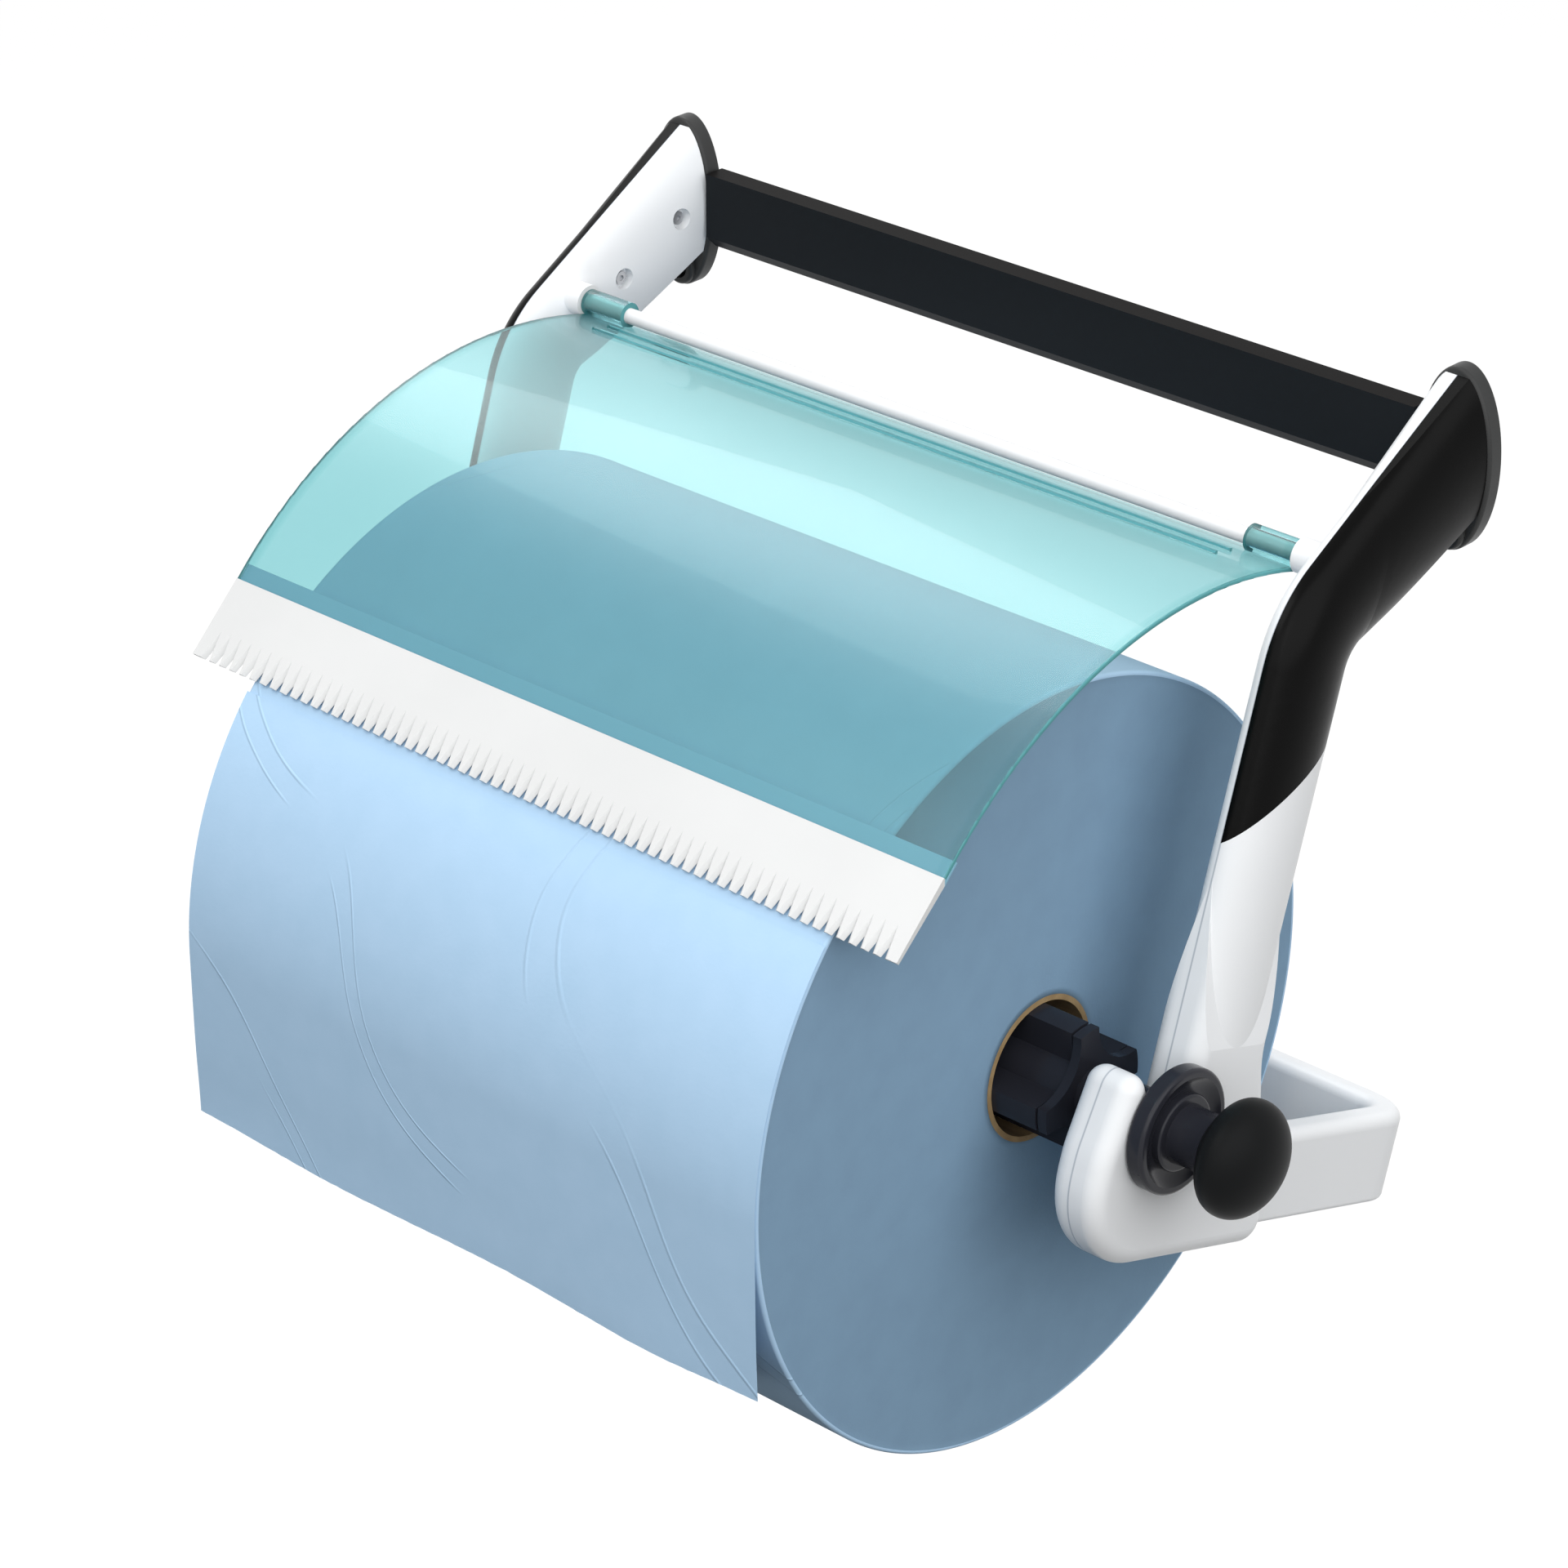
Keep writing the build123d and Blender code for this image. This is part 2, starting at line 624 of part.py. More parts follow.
# Screws that hold the rail's tabs to the wall plates
with BuildPart() as rail_screws:
    tab_screws = Plane(origin=(0, 0, rail_rise), x_dir=(1, 0, 0), z_dir=(0, -1, 0))
    with BuildSketch(tab_screws.offset(rail_wall - tab_screw_head_height)):
        with Locations((0, tab_screw_rise)):
            with GridLocations(2 * tab_screw_place, 0, 2, 1):
                Circle(tab_screw_head_radius)
    extrude(amount=tab_screw_head_height)
    with BuildSketch(tab_screws.offset(rail_wall)):
        with Locations((0, tab_screw_rise)):
            with GridLocations(2 * tab_screw_place, 0, 2, 1):
                Circle(screw_radius)
    extrude(amount=tab_screw_length - rail_wall)
save(rail_screws, "rail_screws")

# Lower brace: a hollow U-shaped bar from arm to arm that leans on the wall
brace_top = brace_height - brace_drop
brace_back = (axle_reach - brace_wall_clearance - brace_top * tilt_sin) / tilt_cos


def brace_outline(front, inset):
    """The U of the brace, from a front line back, drawn in from its edges by an inset."""
    with BuildSketch() as outline:
        half = brace_outer_face - inset
        inner_half = brace_inner_face + inset
        back = brace_back - inset
        inner_back = brace_back - brace_thickness + inset
        for half_width, end, corner, mode in (
            (half, back, brace_corner_radius - inset, Mode.ADD),
            (inner_half, inner_back, brace_corner_radius - brace_thickness + inset, Mode.SUBTRACT),
        ):
            reach = end + overrun
            with Locations((0, end - reach / 2)):
                RectangleRounded(2 * half_width, reach, corner, mode=mode)
        with Locations((0, front)):
            Rectangle(
                4 * brace_outer_face,
                brace_back,
                align=(Align.CENTER, Align.MAX),
                mode=Mode.SUBTRACT,
            )
    return outline.sketch


with BuildPart() as lower_brace:
    with BuildSketch(brace_plane(-brace_drop)):
        add(brace_outline(arm_rear, 0))
    extrude(amount=brace_height)
    levels = lower_brace.faces().sort_by(Axis(axle_origin, (0, tilt_sin, tilt_cos)))
    for level, rounding in ((levels[0], brace_lower_round), (levels[-1], brace_round)):
        ends = level.edges().filter_by(Axis.X).sort_by(Axis.Y)[:2]
        fillet([edge for edge in level.edges() if edge not in ends], radius=rounding)
    with BuildSketch(brace_plane(-brace_drop)):
        add(brace_outline(heel_reach + brace_wall, brace_wall))
    extrude(amount=brace_height - brace_wall, mode=Mode.SUBTRACT)
    with BuildSketch(arm_plane(0)):
        add(arm_outline())
        offset(amount=fit_gap)
    extrude(amount=arm_outer_face, both=True, mode=Mode.SUBTRACT)
    for start, thickness in (
        (brace_tongue_start, brace_tongue_thickness),
        (-brace_tongue_start, -brace_tongue_thickness),
    ):
        with BuildSketch(arm_plane(start)):
            with Locations(((brace_tongue_tip + brace_tongue_end) / 2, brace_tongue_level)):
                Rectangle(brace_tongue_end - brace_tongue_tip, brace_tongue_height)
        extrude(amount=thickness)
    with BuildSketch(arm_plane(0)):
        with Locations(brace_screw_place):
            Circle(screw_radius + thread_gap)
    extrude(amount=brace_tongue_start + brace_screw_length, both=True, mode=Mode.SUBTRACT)
save(lower_brace, "lower_brace")

# Screws that hold the brace's tongues in the arms
brace_screw_seat = arm_inner_face + screw_recess_depth - screw_head_height
with BuildPart() as right_brace_screw:
    with BuildSketch(arm_plane(brace_screw_seat - screw_head_height)):
        with Locations(brace_screw_place):
            Circle(screw_head_radius)
    extrude(amount=screw_head_height)
    with BuildSketch(arm_plane(brace_screw_seat)):
        with Locations(brace_screw_place):
            Circle(screw_radius)
    extrude(amount=brace_tongue_start + brace_screw_length - brace_screw_seat)
    with BuildSketch(arm_plane(brace_screw_seat - screw_head_height)):
        with Locations(brace_screw_place):
            RegularPolygon(socket_radius, 6)
    extrude(amount=socket_depth, mode=Mode.SUBTRACT)
with BuildPart() as brace_screws:
    add(right_brace_screw.part)
    add(mirror(right_brace_screw.part, about=Plane.YZ, mode=Mode.PRIVATE))
save(brace_screws, "brace_screws")

# Hinge rod from arm to arm
with BuildPart() as hinge_rod:
    with BuildSketch(side_plane(0)):
        with Locations((hinge_y, hinge_z)):
            Circle(rod_radius)
    extrude(amount=arm_inner_face + rod_end_depth, both=True)
save(hinge_rod, "hinge_rod")

# Cover: a curved sheet with a hinge sleeve at each rear corner and two ribs between them
# Its curve runs under the hinge sleeves and ends over the roll's front
front_y = (roll_radius + cover_front_gap) * cos(radians(cover_front_turn))
front_z = (roll_radius + cover_front_gap) * sin(radians(cover_front_turn))
hinge_radius = cover_radius + sleeve_radius - sleeve_sink
chord = Vector(hinge_y - front_y, hinge_z - front_z)
foot = (chord.length**2 + cover_radius**2 - hinge_radius**2) / (2 * chord.length)
depth = (cover_radius**2 - foot**2) ** 0.5
ahead = chord.normalized()
cover_centre_back = front_y + foot * ahead.X + depth * ahead.Y
cover_centre_rise = front_z + foot * ahead.Y - depth * ahead.X
cover_centre = (cover_centre_back, cover_centre_rise)
cover_front_angle = degrees(atan2(front_z - cover_centre_rise, front_y - cover_centre_back))
hinge_angle = degrees(atan2(hinge_z - cover_centre_rise, hinge_y - cover_centre_back))
cover_rear_angle = hinge_angle - degrees(cover_rear_overhang / cover_radius)
cover_inner_radius = cover_radius - cover_thickness


def cover_point(radius, angle):
    """Point of the cover's curve, in the side plane."""
    return (
        cover_centre_back + radius * cos(radians(angle)),
        cover_centre_rise + radius * sin(radians(angle)),
    )


def cover_band(inner, outer, start, end):
    """Face of a band round the cover's middle, between two angles."""
    with BuildSketch() as band:
        with BuildLine():
            CenterArc(cover_centre, outer, start, end - start)
            CenterArc(cover_centre, inner, start, end - start)
            Line(cover_point(inner, start), cover_point(outer, start))
            Line(cover_point(inner, end), cover_point(outer, end))
        make_face()
    return band.sketch


sleeve_start = cover_half_width - fit_gap - sleeve_length
with BuildPart() as cover_shell:
    with BuildSketch(side_plane(0)):
        add(cover_band(cover_inner_radius, cover_radius, cover_rear_angle, cover_front_angle))
    extrude(amount=cover_half_width, both=True)
    side_edges = cover_shell.edges().filter_by(GeomType.CIRCLE)
    fillet(side_edges, radius=cover_edge_round)
    for place in rib_places:
        angle = cover_rear_angle + degrees(place / cover_radius)
        rib_turn = degrees(rib_width / cover_radius)
        rib_root = cover_radius - cover_thickness / 2
        with BuildSketch(side_plane(0)):
            add(cover_band(rib_root, cover_radius + rib_height, angle, angle + rib_turn))
        extrude(amount=sleeve_start, both=True)
    for place in (sleeve_start, -sleeve_start - sleeve_length):
        with BuildSketch(side_plane(place)):
            with Locations((hinge_y, hinge_z)):
                Circle(sleeve_radius)
        extrude(amount=sleeve_length)
    with BuildSketch(side_plane(0)):
        with Locations((hinge_y, hinge_z)):
            Circle(rod_radius + running_gap)
    extrude(amount=cover_half_width + overrun, both=True, mode=Mode.SUBTRACT)
save(cover_shell, "cover_shell")

# Cutter: a tapering strip along the cover's front edge, with a lip under it and fluted teeth
normal_y, normal_z = cos(radians(cutter_angle)), sin(radians(cutter_angle))


def cutter_point(out, along):
    """Point at a distance out from the axle and along the cutter towards its tips."""
    return (out * normal_y - along * normal_z, out * normal_z + along * normal_y)


cutter_floor = roll_radius + cutter_gap
tip_inner = cutter_point(cutter_floor, cutter_tip_reach)
tip_outer = cutter_point(cutter_floor + cutter_tip_thickness, cutter_tip_reach)
lip_turn = degrees(cutter_lip_length / cover_radius)
tooth_count = int(2 * cover_half_width / tooth_pitch)
flute_slope = (cutter_tip_thickness + flute_undercut) / flute_length
flute_start = cutter_point(cutter_floor - flute_undercut, cutter_tip_reach)
flute_up = Vector(0, *cutter_point(flute_slope, -1))
flute_plane = Plane(
    origin=(0, flute_start[0] - axle_reach, flute_start[1] - axle_drop),
    x_dir=(1, 0, 0),
    z_dir=flute_up,
)
with BuildPart() as cutter_bar:
    with BuildSketch(side_plane(0)):
        with BuildLine():
            Polyline(
                cover_point(cover_inner_radius - cutter_lip_thickness, cover_front_angle),
                cover_point(cover_radius, cover_front_angle),
                tip_outer,
                tip_inner,
                close=True,
            )
        make_face()
        add(
            cover_band(
                cover_inner_radius - cutter_lip_thickness,
                cover_inner_radius,
                cover_front_angle - lip_turn,
                cover_front_angle,
            )
        )
    extrude(amount=cover_half_width, both=True)
    with BuildSketch(flute_plane):
        with GridLocations(tooth_pitch, 0, tooth_count - 1, 1):
            Polygon(
                (0, 0),
                (tooth_pitch / 2, -tooth_rise),
                (-tooth_pitch / 2, -tooth_rise),
                align=None,
            )
    extrude(amount=2 * flute_length, mode=Mode.SUBTRACT)
save(cutter_bar, "cutter_bar")

# Axle tube through the roll's core
axle_tube_half = collar_start - axle_tube_setback
chuck_inner_end = roll_width / 2 - chuck_reach
chuck_pin_place = chuck_inner_end + chuck_pin_inset
star_start = roll_width / 2 + star_room
with BuildPart() as axle_tube:
    with BuildSketch(side_plane(-axle_tube_half)):
        Circle(axle_tube_radius)
        Circle(axle_tube_radius - axle_tube_wall, mode=Mode.SUBTRACT)
    extrude(amount=2 * axle_tube_half)
    with BuildSketch(Plane(origin=axle_origin)):
        with GridLocations(2 * chuck_pin_place, 0, 2, 1):
            Circle(chuck_pin_radius)
    extrude(amount=axle_tube_radius, both=True, mode=Mode.SUBTRACT)
save(axle_tube, "axle_tube")

# Core chucks: a hub with four ribs that centre the core and a four-pointed star outside it
rib_tip = core_inner_radius - chuck_rib_gap
with BuildPart() as core_chuck:
    with BuildSketch(side_plane(chuck_inner_end)):
        Circle(chuck_hub_radius)
    extrude(amount=star_start - chuck_inner_end)
    with BuildSketch(side_plane(chuck_inner_end)):
        with PolarLocations(rib_tip / 2, chuck_points, start_angle=chuck_turn):
            Rectangle(rib_tip, chuck_rib_width)
        Circle(rib_tip, mode=Mode.INTERSECT)
    extrude(amount=star_start - chuck_rib_setback - chuck_inner_end)
    with BuildSketch(side_plane(star_start)):
        Circle(star_radius)
        between_points = chuck_turn + 180 / chuck_points
        arc_place = star_waist_radius + star_arc_radius
        with PolarLocations(arc_place, chuck_points, start_angle=between_points):
            Circle(star_arc_radius, mode=Mode.SUBTRACT)
        Circle(star_waist_radius)
    extrude(amount=star_thickness)
    with BuildSketch(side_plane(chuck_inner_end)):
        Circle(axle_tube_radius)
    extrude(amount=star_start + star_thickness - chuck_inner_end, mode=Mode.SUBTRACT)
    with BuildSketch(Plane(origin=axle_origin)):
        with Locations((chuck_pin_place, 0)):
            Circle(chuck_pin_radius)
    extrude(amount=chuck_hub_radius + overrun, both=True, mode=Mode.SUBTRACT)
save_pair(core_chuck, "core_chuck")

# Pins through the chucks and the axle tube
with BuildPart() as chuck_pins:
    with BuildSketch(Plane(origin=axle_origin)):
        with GridLocations(2 * chuck_pin_place, 0, 2, 1):
            Circle(chuck_pin_radius)
    extrude(amount=chuck_hub_radius, both=True)
save(chuck_pins, "chuck_pins")

# Axle collars: the journal that turns in the hook, the dished disc outside it and the neck
journal_start = star_start + star_thickness
with BuildPart() as axle_collar:
    with BuildSketch(side_plane(journal_start)):
        Circle(journal_radius)
    extrude(amount=collar_start - journal_start)
    with BuildSketch(side_plane(collar_start)):
        Circle(collar_radius)
    extrude(amount=collar_thickness)
    rims = axle_collar.edges().filter_by(GeomType.CIRCLE).sort_by(SortBy.RADIUS)[-2:]
    fillet(rims, radius=collar_round)
    neck_start = collar_end - collar_dish_depth
    hub_end = neck_start + hub_length
    with BuildSketch(Plane(origin=axle_origin, x_dir=(1, 0, 0), z_dir=(0, -1, 0))):
        with BuildLine():
            dish_edge = (collar_end, collar_radius - collar_rim)
            dish_foot = (neck_start, hub_radius)
            dish_middle = (
                (collar_end + neck_start) / 2 - collar_dish_sag,
                (collar_radius - collar_rim + hub_radius) / 2,
            )
            ThreePointArc(dish_edge, dish_middle, dish_foot)
            Polyline(dish_foot, (neck_start, 0), (collar_end, 0), dish_edge)
        make_face()
    revolve(axis=Axis(axle_origin, (1, 0, 0)), mode=Mode.SUBTRACT)
    with BuildSketch(side_plane(neck_start - collar_dish_sag)):
        Circle(hub_radius)
    extrude(amount=hub_length + collar_dish_sag)
    hub_edge = axle_collar.faces().filter_by(Axis.X).sort_by(Axis.X)[-1].edges()
    fillet(hub_edge, radius=hub_round)
    with BuildSketch(Plane(origin=axle_origin, x_dir=(1, 0, 0), z_dir=(0, -1, 0))):
        with BuildLine():
            neck_middle = (hub_end + neck_end) / 2
            ThreePointArc(
                (neck_start, neck_radius),
                (neck_middle, neck_radius - neck_waist),
                (neck_end, neck_radius),
            )
            Polyline((neck_end, neck_radius), (neck_end, 0), (neck_start, 0), (neck_start, neck_radius))
        make_face()
    revolve(axis=Axis(axle_origin, (1, 0, 0)))
    with BuildSketch(side_plane(journal_start)):
        Circle(axle_tube_radius)
    extrude(amount=axle_tube_half - journal_start, mode=Mode.SUBTRACT)
    with BuildSketch(side_plane(neck_end)):
        Circle(stud_radius)
    extrude(amount=-stud_length / 2, mode=Mode.SUBTRACT)
save_pair(axle_collar, "axle_collar")

# Knobs: a flattened ball on the end of each neck
quarter_turn = 90
knob_widest = neck_end + knob_length * knob_rim_share
knob_end = neck_end + knob_length
knob_back_radius = knob_radius * knob_back_share
with BuildPart() as knob:
    with BuildSketch(Plane(origin=axle_origin, x_dir=(1, 0, 0), z_dir=(0, -1, 0))):
        with BuildLine():
            knob_front = knob_end - knob_widest
            EllipticalCenterArc((knob_widest, 0), knob_front, knob_radius, 0, arc_size=quarter_turn)
            Spline(
                (knob_widest, knob_radius),
                (neck_end, knob_back_radius),
                tangents=((-1, 0), (-1, -1)),
            )
            Polyline((neck_end, knob_back_radius), (neck_end, 0), (knob_end, 0))
        make_face()
    revolve(axis=Axis(axle_origin, (1, 0, 0)))
    with BuildSketch(side_plane(neck_end)):
        Circle(stud_radius)
    extrude(amount=stud_length / 2, mode=Mode.SUBTRACT)
save_pair(knob, "knob")

# Studs that join the knobs to the necks
with BuildPart() as knob_studs:
    for middle in (neck_end, -neck_end):
        with BuildSketch(side_plane(middle)):
            Circle(stud_radius)
        extrude(amount=stud_length / 2, both=True)
save(knob_studs, "knob_studs")

# Cardboard core and the paper wound on it
with BuildPart() as cardboard_core:
    with BuildSketch(side_plane(0)):
        Circle(core_outer_radius)
        Circle(core_inner_radius, mode=Mode.SUBTRACT)
    extrude(amount=roll_width / 2, both=True)
save(cardboard_core, "cardboard_core")

with BuildPart() as paper_roll:
    with BuildSketch(side_plane(0)):
        Circle(roll_radius)
        Circle(core_outer_radius, mode=Mode.SUBTRACT)
    extrude(amount=roll_width / 2, both=True)
save(paper_roll, "paper_roll")

# Paper tail that hangs from the front of the roll, with a torn edge that wanders a little
wave_place_shares = (-0.5, -0.22, 0.05, 0.3, 0.5)
wave_height_shares = (1.0, -0.4, 0.5, -1.0, 0.2)
tail_face = Plane(
    origin=(0, -axle_reach - roll_radius - move_gap, -axle_drop),
    x_dir=(1, 0, 0),
    z_dir=(0, -1, 0),
)
torn_edge = [
    (place * roll_width, height * tail_wave - tail_drop)
    for place, height in zip(wave_place_shares, wave_height_shares)
]
with BuildPart() as paper_tail:
    with BuildSketch(tail_face):
        with BuildLine():
            Spline(*torn_edge)
            Polyline(
                torn_edge[-1],
                (roll_width / 2, tail_top),
                (-roll_width / 2, tail_top),
                torn_edge[0],
            )
        make_face()
    extrude(amount=tail_thickness)
save(paper_tail, "paper_tail")
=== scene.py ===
"""Looks of the wall-mounted paper roll dispenser: materials, paper, light and camera."""
import json
import math

import bpy
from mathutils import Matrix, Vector, noise


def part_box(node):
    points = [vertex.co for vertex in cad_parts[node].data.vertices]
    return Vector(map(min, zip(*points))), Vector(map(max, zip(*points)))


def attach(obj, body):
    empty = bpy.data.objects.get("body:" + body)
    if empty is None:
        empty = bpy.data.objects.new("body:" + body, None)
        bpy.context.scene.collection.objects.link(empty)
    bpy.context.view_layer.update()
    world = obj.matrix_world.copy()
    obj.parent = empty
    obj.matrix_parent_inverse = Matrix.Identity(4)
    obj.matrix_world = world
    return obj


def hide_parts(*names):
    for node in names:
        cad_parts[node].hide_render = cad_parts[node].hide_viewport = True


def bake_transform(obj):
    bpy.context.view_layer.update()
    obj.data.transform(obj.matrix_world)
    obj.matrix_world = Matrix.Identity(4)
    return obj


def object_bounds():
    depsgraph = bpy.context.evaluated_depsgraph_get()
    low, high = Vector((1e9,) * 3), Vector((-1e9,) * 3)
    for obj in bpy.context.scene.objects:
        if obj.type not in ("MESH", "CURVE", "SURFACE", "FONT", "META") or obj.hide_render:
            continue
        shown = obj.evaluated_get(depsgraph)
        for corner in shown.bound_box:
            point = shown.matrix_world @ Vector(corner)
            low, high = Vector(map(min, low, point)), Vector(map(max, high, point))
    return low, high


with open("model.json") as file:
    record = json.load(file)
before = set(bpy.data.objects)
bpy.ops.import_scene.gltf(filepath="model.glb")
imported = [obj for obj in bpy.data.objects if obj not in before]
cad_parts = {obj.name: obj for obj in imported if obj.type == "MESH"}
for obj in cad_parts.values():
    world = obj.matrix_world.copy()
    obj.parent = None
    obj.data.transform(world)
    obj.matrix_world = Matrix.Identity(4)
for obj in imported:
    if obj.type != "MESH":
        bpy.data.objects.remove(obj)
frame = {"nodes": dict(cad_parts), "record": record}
nodes = frame["nodes"]
cad_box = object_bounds()

# Places taken from the solids, in metres
ROLL_LOW, ROLL_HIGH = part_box("paper_roll")
ROLL_RADIUS = (ROLL_HIGH.z - ROLL_LOW.z) / 2
ROLL_HALF = ROLL_HIGH.x
AXLE_Y = (ROLL_LOW.y + ROLL_HIGH.y) / 2
AXLE_Z = (ROLL_LOW.z + ROLL_HIGH.z) / 2
CORE_LOW, CORE_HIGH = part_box("cardboard_core")
CORE_RADIUS = (CORE_HIGH.z - CORE_LOW.z) / 2
ARM_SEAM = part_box("right_arm_cover")[0].x
COVER_LOW, COVER_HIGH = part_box("cover_shell")
COVER_FRONT = COVER_LOW.y
COVER_HALF = COVER_HIGH.x

# Height of the fine relief on moulded and painted skins, in metres
GRAIN = 0.0001
# Values of a noise between which a colour or a gloss changes over
WANDER_START, WANDER_END = 0.3, 0.7
# Sockets of the colour mix node, which have no names of their own
MIX_FIRST, MIX_SECOND, MIX_RESULT = 6, 7, 2
WHITE = (1, 1, 1, 1)


def lin(r, g, b):
    """Linear colour from one given in the usual 0 to 255 steps."""
    def one(v):
        v /= 255
        return v / 12.92 if v <= 0.04045 else ((v + 0.055) / 1.055) ** 2.4
    return (one(r), one(g), one(b), 1.0)


class Finish:
    """A node material around one Principled shader; values between nodes are (node, output) pairs."""

    def __init__(self, name, rough=0.4, **sockets):
        self.material = bpy.data.materials.new(name)
        self.material.use_nodes = True
        self.tree = self.material.node_tree
        self.tree.nodes.clear()
        self.out = self.node("OutputMaterial")
        self.shader = self.node("BsdfPrincipled")
        self.shader.inputs["Roughness"].default_value = rough
        for socket, value in sockets.items():
            self.shader.inputs[socket.replace("_", " ")].default_value = value
        self.link((self.shader, "BSDF"), self.out, "Surface")
        self.place = self.node("TexCoord")

    def node(self, kind, **values):
        made = self.tree.nodes.new("ShaderNode" + kind)
        for key, value in values.items():
            setattr(made, key, value)
        return made

    def link(self, source, target, socket):
        node, output = source
        self.tree.links.new(node.outputs[output], target.inputs[socket])

    def noise(self, scale, detail=4.0, stretch=(1, 1, 1)):
        """Noise in the part's own space, stretched along its axes."""
        spread = self.node("Mapping")
        spread.inputs["Scale"].default_value = stretch
        self.link((self.place, "Object"), spread, "Vector")
        made = self.node("TexNoise")
        made.inputs["Scale"].default_value = scale
        made.inputs["Detail"].default_value = detail
        self.link((spread, "Vector"), made, "Vector")
        return (made, "Fac")

    def span(self, source, start, end, low=0.0, high=1.0, smooth=False):
        """Value that runs from low to high while the source runs from start to end."""
        made = self.node("MapRange")
        if smooth:
            made.interpolation_type = "SMOOTHSTEP"
        made.inputs["From Min"].default_value = start
        made.inputs["From Max"].default_value = end
        made.inputs["To Min"].default_value = low
        made.inputs["To Max"].default_value = high
        self.link(source, made, "Value")
        return (made, "Result")

    def colour(self, low, high, scale, detail=4.0, stretch=(1, 1, 1)):
        """Base colour that wanders between two shades."""
        made = self.node("ValToRGB")
        stops = zip(made.color_ramp.elements, (WANDER_START, WANDER_END), (low, high))
        for element, at, shade in stops:
            element.position = at
            element.color = shade
        self.link(self.noise(scale, detail, stretch), made, "Fac")
        self.link((made, "Color"), self.shader, "Base Color")
        return (made, "Color")

    def repaint(self, factor, first, second):
        """Base colour that goes from the first to the second, one of them a fixed colour."""
        made = self.node("Mix", data_type="RGBA")
        self.link(factor, made, "Factor")
        for socket, shade in ((MIX_FIRST, first), (MIX_SECOND, second)):
            if len(shade) == 2:
                self.link(shade, made, socket)
            else:
                made.inputs[socket].default_value = shade
        self.link((made, MIX_RESULT), self.shader, "Base Color")

    def gloss(self, low, high, scale, stretch=(1, 1, 1)):
        """Roughness that wanders between two values."""
        wander_value = self.noise(scale, 3.0, stretch)
        self.link(self.span(wander_value, WANDER_START, WANDER_END, low, high), self.shader, "Roughness")

    def bump(self, source, strength, distance):
        """Relief, added to any that is there already."""
        made = self.node("Bump")
        made.inputs["Strength"].default_value = strength
        made.inputs["Distance"].default_value = distance
        self.link(source, made, "Height")
        before = self.shader.inputs["Normal"].links
        if before:
            self.link((before[0].from_node, "Normal"), made, "Normal")
        self.link((made, "Normal"), self.shader, "Normal")

    def grain(self, scale, strength, detail=2.0, stretch=(1, 1, 1)):
        """Fine relief of a moulded or painted skin."""
        self.bump(self.noise(scale, detail, stretch), strength, GRAIN)

    def math(self, kind, *values):
        """Result of a math node on values that are numbers or (node, output) pairs."""
        made = self.node("Math", operation=kind)
        for socket, value in enumerate(values):
            if isinstance(value, tuple):
                self.link(value, made, socket)
            else:
                made.inputs[socket].default_value = value
        return (made, "Value")

    def split(self, source, axis):
        made = self.node("SeparateXYZ")
        self.link((self.place, source), made, "Vector")
        return (made, axis)

    def axis(self, name):
        """Place along one of the part's axes."""
        return self.split("Object", name)

    def facing(self, name):
        """Share of the surface's direction along one of the part's axes."""
        return self.split("Normal", name)

    def mix_shaders(self, factor, first, second):
        made = self.node("MixShader")
        self.link(factor, made, "Fac")
        self.link(first, made, 1)
        self.link(second, made, 2)
        return (made, "Shader")


def white_plastic(name, seamed):
    """White plastic, with the fine grey line of the seam between the arms' halves where there is one."""
    made = Finish(name, IOR=1.49, Specular_IOR_Level=0.3)
    made.gloss(0.3, 0.34, 12.0)
    made.grain(1800.0, 0.015)
    tone = made.colour(lin(239, 241, 243), lin(242, 244, 246), 9.0, 2.0)
    if seamed:
        from_middle = made.math("ABSOLUTE", made.axis("X"))
        from_seam = made.math("ABSOLUTE", made.math("SUBTRACT", from_middle, ARM_SEAM))
        made.repaint(made.span(from_seam, 0.00025, 0.0006), lin(190, 195, 203), tone)
    return made.material


def cutter_plastic():
    """White plastic of the cutter; its flange under the cover's front edge is given a dull blue as painted
    shade.
    """
    made = Finish("cutter_plastic", IOR=1.49)
    white = made.colour(lin(214, 215, 215), lin(219, 220, 220), 12.0)
    # Painted shade: where the cover lies over the flange it is a dull blue, matched to the shaded paper seen
    # through the cover
    under = made.span(made.axis("Y"), COVER_FRONT + 0.0004, COVER_FRONT + 0.0008)
    made.repaint(under, white, lin(131, 183, 205))
    made.gloss(0.4, 0.46, 20.0)
    made.grain(1500.0, 0.02)
    return made.material


def black_plastic():
    made = Finish("black_plastic", IOR=1.5, Specular_IOR_Level=0.08)
    made.colour(lin(3, 3, 3), lin(5, 5, 5), 25.0)
    made.gloss(0.26, 0.3, 20.0)
    made.grain(2200.0, 0.02)
    return made.material


def dark_plastic():
    made = Finish("dark_plastic", IOR=1.48, Specular_IOR_Level=0.2)
    made.colour(lin(52, 53, 53), lin(60, 60, 60), 30.0)
    made.gloss(0.34, 0.45, 40.0)
    made.grain(1700.0, 0.08)
    return made.material


def rail_paint():
    """Black paint, with painted shade that makes its upward faces darker."""
    made = Finish("rail_paint", IOR=1.48, Specular_IOR_Level=0.03)
    paint = made.colour(lin(29, 32, 35), lin(35, 38, 41), 8.0, stretch=(0.4, 1, 1))
    # Painted shade: faces that point up get a darker colour, standing in for the dark reflection on the top
    made.repaint(made.facing("Z"), paint, lin(20, 19, 19))
    made.gloss(0.42, 0.5, 14.0, stretch=(0.3, 1, 1))
    made.grain(1400.0, 0.03, 3.0)
    return made.material


